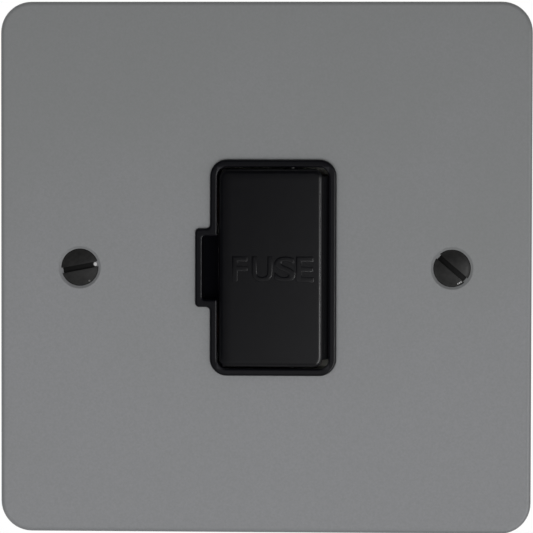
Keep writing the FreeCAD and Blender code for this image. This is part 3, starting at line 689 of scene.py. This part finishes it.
def fuse_cap(node):
    """Drawn end cap of the cartridge: rounded at its closed end and at its mouth."""
    low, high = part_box(node)
    r = (high.x - low.x) / 2
    long = high.z - low.z
    wall, end_round, mouth_round = 0.3 * MM, 0.55 * MM, 0.1 * MM
    profile = [(0.0, long)]
    profile += arc((r - end_round, long), (r, long), (r, long - end_round), count=7)
    profile += arc((r, mouth_round), (r, 0.0), (r - mouth_round, 0.0))
    profile += [(r - wall, 0.0), (r - wall, long - wall), (0.0, long - wall)]
    mesh = lathe(profile, steps=72)
    if low.z > 0:
        mesh.transform(moved(FUSE_X, FUSE_Y, low.z) @ turned(90, "X"))
    else:
        mesh.transform(moved(FUSE_X, FUSE_Y, high.z) @ turned(-90, "X"))
    piece = joined(node + "_drawn", [mesh], "cap_metal")
    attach(piece, "fuse_drawer")
    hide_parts(node)


def face_y(x):
    """Where the front of the carrier's crowned face lies at x."""
    return FACE_FRONT + CROWN_R - math.sqrt(CROWN_R ** 2 - (x - CROWN_X) ** 2)


def letter_mesh(letter, left, right):
    """One raised letter in plain sans, stretched to its own width on the carrier's crowned face."""
    curve = bpy.data.curves.new("letter", "FONT")
    curve.body = letter
    curve.bevel_depth = LETTER_BEVEL
    curve.bevel_resolution = 3
    curve.offset = -LETTER_INSET
    curve.resolution_u = 8
    mesh = baked(new_object("letter_source", curve))
    low = [min(v.co[i] for v in mesh.vertices) for i in range(3)]
    high = [max(v.co[i] for v in mesh.vertices) for i in range(3)]
    across = (right - left) / (high[0] - low[0])
    upright = (LETTER_HIGH - LETTER_LOW) / (high[1] - low[1])
    rise = 2 * LETTER_RISE / (high[2] - low[2])
    middle = (low[2] + high[2]) / 2
    for v in mesh.vertices:
        x = left + (v.co.x - low[0]) * across
        y = face_y(x) - (v.co.z - middle) * rise
        v.co = Vector((x, y, LETTER_LOW + (v.co.y - low[1]) * upright))
    return mesh


def fuse_word():
    """The raised word on the carrier's face."""
    word = gathered(letter_mesh(letter, left * MM, right * MM) for letter, (left, right) in LETTERS.items())
    bmesh.ops.remove_doubles(word, verts=word.verts, dist=1e-7)
    bmesh.ops.recalc_face_normals(word, faces=word.faces)
    mesh = new_mesh("fuse_word", word)
    mesh.shade_smooth()
    mesh.materials.append(FINISHES["carrier_plastic"])
    piece = new_object("fuse_word", mesh)
    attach(piece, "fuse_drawer")


def photo_camera():
    """Camera almost square to the plate, fitted to the plate's edges in the picture."""
    camera = bpy.data.cameras.new("photo_camera")
    camera.sensor_width = SENSOR_WIDTH
    camera.lens = SENSOR_WIDTH * PIXELS_PER_METRE * CAMERA_DISTANCE / PICTURE_PIXELS
    holder = new_object("photo_camera", camera)
    yaw, pitch, roll = CAMERA_TURN
    turn = turned(yaw, "Z", 3) @ turned(-pitch, "X", 3) @ turned(-roll, "Y", 3)
    look = turn @ Vector((0.0, 1.0, 0.0))
    up = turn @ Vector((0.0, 0.0, 1.0))
    basis = Matrix((look.cross(up), up, -look)).transposed()
    place = Vector(CAMERA_AIM) - look * CAMERA_DISTANCE
    holder.matrix_world = Matrix.Translation(place) @ basis.to_4x4()
    bpy.context.scene.camera = holder


def area_light(name, place, size, power):
    """A rectangular soft light aimed at the unit."""
    lamp = bpy.data.lights.new(name, "AREA")
    lamp.shape = "RECTANGLE"
    lamp.size, lamp.size_y = size
    lamp.energy = power
    holder = new_object(name, lamp)
    holder.location = place
    holder.rotation_mode = "QUATERNION"
    holder.rotation_quaternion = (-Vector(place)).to_track_quat("-Z", "Y")
    return holder


def studio_lights():
    """A broad lamp in front for dull surfaces, and a narrow one low at the right for the glints."""
    front = area_light("front_light", *FRONT_LIGHT)
    front.visible_glossy = False
    front.visible_camera = False
    glint = area_light("glint_light", *GLINT_LIGHT)
    glint.visible_diffuse = False


def studio_world():
    """White backdrop for the camera; gloss and glass see it behind the object, and a dimmer room in front."""
    world = bpy.data.worlds.new("studio")
    bpy.context.scene.world = world
    world.use_nodes = True
    tree = world.node_tree
    tree.nodes.clear()
    new, link = tree.nodes.new, tree.links.new

    def background(level):
        node = new("ShaderNodeBackground")
        if isinstance(level, float):
            node.inputs["Color"].default_value = (level, level, level, 1.0)
        else:
            link(level, node.inputs["Color"])
        return node.outputs["Background"]

    def mixed(factor, first, second):
        node = new("ShaderNodeMixShader")
        link(factor, node.inputs["Fac"])
        link(first, node.inputs[1])
        link(second, node.inputs[2])
        return node.outputs["Shader"]

    path = new("ShaderNodeLightPath")
    place = new("ShaderNodeTexCoord").outputs["Generated"]
    parts = new("ShaderNodeSeparateXYZ")
    link(place, parts.inputs["Vector"])
    climb = new("ShaderNodeVectorMath")
    climb.operation = "DOT_PRODUCT"
    climb.inputs[1].default_value = (ROOM_RIGHT, 0.0, -ROOM_DOWN)
    link(place, climb.inputs[0])
    rise = calculate(tree, "MULTIPLY", calculate(tree, "POWER", math.e, climb.outputs["Value"]), ROOM)
    floor_shade = ramp(tree, parts.outputs["Z"], ROOM_FLOOR_FADE, ROOM_FLOOR, 1.0)
    level = calculate(tree, "MULTIPLY", calculate(tree, "MINIMUM", rise, ROOM_LIMIT), floor_shade)
    room = mixed(ramp(tree, parts.outputs["Y"], BACKDROP_FADE), background(level), background(1.0))
    around = ramp(tree, parts.outputs["Y"], AMBIENT_FADE)
    soft = mixed(around, background(AMBIENT), background(AMBIENT_BEHIND))
    shiny = calculate(tree, "MAXIMUM", path.outputs["Is Glossy Ray"], path.outputs["Is Transmission Ray"])
    seen = mixed(path.outputs["Is Camera Ray"], mixed(shiny, soft, room), background(1.0))
    link(seen, new("ShaderNodeOutputWorld").inputs["Surface"])


def pale_floor():
    """A round pale floor a little below the unit, fading out into the white backdrop."""
    disc = bmesh.new()
    place = moved(0, 0, cad_box[0].z - FLOOR_DROP)
    bmesh.ops.create_circle(disc, cap_ends=True, segments=96, radius=FLOOR_EDGE, matrix=place)
    mesh = new_mesh("floor", disc)
    material = finish(
        "floor_paper", (0.81, 0.81, 0.81), (0.83, 0.83, 0.83),
        0.0, (0.85, 0.95), 60, 900, 0.02 * MM)
    tree = material.node_tree
    away = tree.nodes.new("ShaderNodeVectorMath")
    away.operation = "LENGTH"
    coordinates = tree.nodes.new("ShaderNodeTexCoord")
    tree.links.new(coordinates.outputs["Object"], away.inputs[0])
    fade = ramp(tree, away.outputs["Value"], FLOOR_FADE, 1.0, 0.0)
    tree.links.new(fade, tree.nodes["Principled BSDF"].inputs["Alpha"])
    mesh.materials.append(material)
    new_object("floor", mesh)


dress_nodes()
fixing_screw("fixing_screw_left", -FIXING_X)
fixing_screw("fixing_screw_right", FIXING_X)
earth_screw("earth_load_screw")
earth_screw("earth_supply_screw")
stud_threads()
fuse_cap("fuse_cap_top")
fuse_cap("fuse_cap_bottom")
fuse_word()
photo_camera()
studio_world()
studio_lights()
pale_floor()

bpy.context.scene.view_settings.view_transform = "Standard"
bpy.context.view_layer.update()
